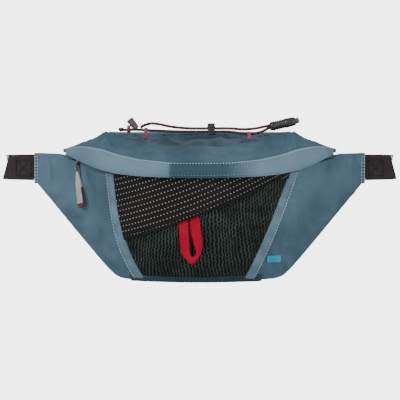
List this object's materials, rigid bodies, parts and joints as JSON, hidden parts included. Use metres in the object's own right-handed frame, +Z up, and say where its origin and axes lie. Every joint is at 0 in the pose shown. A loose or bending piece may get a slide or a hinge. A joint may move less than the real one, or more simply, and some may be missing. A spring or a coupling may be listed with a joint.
{
  "type": "waist pack",
  "caption": "Curved fabric waist pack with a zipped lid, a diagonal mesh front pocket, a bungee on the lid and a buckled webbing belt folded behind it.",
  "frame": {"origin": "centre of the back panel's flat rear face", "axes": "+X to the right seen from the front, +Y out of the back panel towards the wearer, +Z up"},
  "size_m": [0.3986, 0.12, 0.1662],
  "materials": {
    "body_fabric": "matt coated weave",
    "hem_fabric": "matt weave",
    "grosgrain_trim": "ribbed ribbon",
    "dotted_fabric": "ripstop with rows of pale dots",
    "pocket_mesh": "coarse knitted mesh",
    "bottom_fabric": "matt weave",
    "back_padding": "spacer mesh over foam",
    "lining": "smooth lining",
    "webbing": "ribbed polyamide webbing",
    "red_ribbon": "satin-edged ribbon",
    "cyan_tab": "woven tab",
    "zip_tape": "woven tape",
    "zip_coil": "moulded coil",
    "slider_metal": "satin",
    "pull_rubber": "satin moulded",
    "bungee_cord": "braided elastic cord",
    "cord_loops": "narrow ribbon",
    "dark_plastic": "fine moulded texture",
    "spring_steel": "bright wire"
  },
  "bodies": {
    "pack": {"back_pad_mesh": "back_padding", "back_foam": "back_padding", "back_lining": "lining", "top_piping": "grosgrain_trim", "inner_pocket": "lining", "main_shell": "body_fabric", "wing_left": "body_fabric", "wing_right": "body_fabric", "wing_binding_left": "body_fabric", "wing_binding_right": "body_fabric", "mesh_pocket": "pocket_mesh", "dotted_panel": "dotted_fabric", "trim_left": "grosgrain_trim", "trim_right": "grosgrain_trim", "bottom_band": "bottom_fabric", "side_tab": "cyan_tab", "zip_tape_lower": "zip_tape", "zip_coil_lower": "zip_coil", "zip_stop_left": "slider_metal", "zip_stop_right": "slider_metal", "belt_left": "webbing", "belt_right": "webbing", "buckle_female": "dark_plastic"},
    "lid": {"lid_shell": "body_fabric", "lid_hem_band": "hem_fabric", "zip_tape_upper": "zip_tape", "zip_coil_upper": "zip_coil", "bungee_upper": "bungee_cord", "bungee_lower": "bungee_cord", "bungee_knot": "bungee_cord", "cord_end_tag": "dark_plastic", "cord_lock_barrel": "dark_plastic", "cord_lock_spring": "spring_steel", "cord_loop_front_left": "cord_loops", "cord_loop_front_right": "cord_loops", "cord_loop_rear_left": "cord_loops"},
    "zip_slider_body": {"zip_slider": "slider_metal"},
    "zip_pull_body": {"zip_pull": "pull_rubber"},
    "pull_loop_body": {"red_pull_loop": "red_ribbon"},
    "buckle_plug": {"buckle_male": "dark_plastic", "belt_tail": "webbing"},
    "prong_upper_body": {"buckle_prong_upper": "dark_plastic"},
    "prong_lower_body": {"buckle_prong_lower": "dark_plastic"},
    "keeper_body": {"belt_keeper": "webbing"},
    "cord_slider_body": {"cord_slider": "dark_plastic"},
    "cord_plunger_body": {"cord_lock_plunger": "dark_plastic"}
  },
  "joints": [
    {"name": "lid_open", "type": "hinge", "parent": "pack", "child": "lid", "pos_m": [0, -0.0035, 0.0745], "axis": [-1, 0, 0], "range_deg": [0, 75]},
    {"name": "zip_travel", "type": "hinge", "parent": "pack", "child": "zip_slider_body", "pos_m": [0, 0.07624, 0.06765], "axis": [0, -0.1478, 0.989], "range_deg": [0, 91.5]},
    {"name": "zip_pull_swing", "type": "hinge", "parent": "zip_slider_body", "child": "zip_pull_body", "pos_m": [-0.12313, -0.03398, 0.04187], "axis": [-0.6756, 0.7292, 0.109], "range_deg": [0, 55]},
    {"name": "pull_loop_swing", "type": "hinge", "parent": "pack", "child": "pull_loop_body", "pos_m": [-0.01, -0.088, -0.007], "axis": [-1, 0, 0], "range_deg": [0, 60]},
    {"name": "buckle_release", "type": "slide", "parent": "pack", "child": "buckle_plug", "axis": [1, 0, 0], "range_m": [0, 0.035], "deforming": ["belt_right"]},
    {"name": "prong_upper_squeeze", "type": "hinge", "parent": "buckle_plug", "child": "prong_upper_body", "pos_m": [0.0042, 0.0205, 0.0455], "axis": [0, -1, 0], "range_deg": [0, 8], "stiffness_Nm_per_rad": 0.05},
    {"name": "prong_lower_squeeze", "type": "hinge", "parent": "buckle_plug", "child": "prong_lower_body", "pos_m": [0.0042, 0.0205, 0.0265], "axis": [0, -1, 0], "range_deg": [-8, 0]},
    {"name": "keeper_slide", "type": "slide", "parent": "buckle_plug", "child": "keeper_body", "axis": [1, 0, 0], "range_m": [-0.015, 0.02]},
    {"name": "cord_slider_slide", "type": "slide", "parent": "lid", "child": "cord_slider_body", "axis": [1, 0, 0], "range_m": [-0.008, 0.008]},
    {"name": "cord_lock_press", "type": "slide", "parent": "lid", "child": "cord_plunger_body", "axis": [-0.9718, -0.087, -0.2193], "range_m": [0, 0.003], "stiffness_N_per_m": 200, "deforming": ["cord_lock_spring"]}
  ],
  "couplings": [
    {"joint": "prong_lower_squeeze", "follows": "prong_upper_squeeze", "ratio": -1}
  ]
}
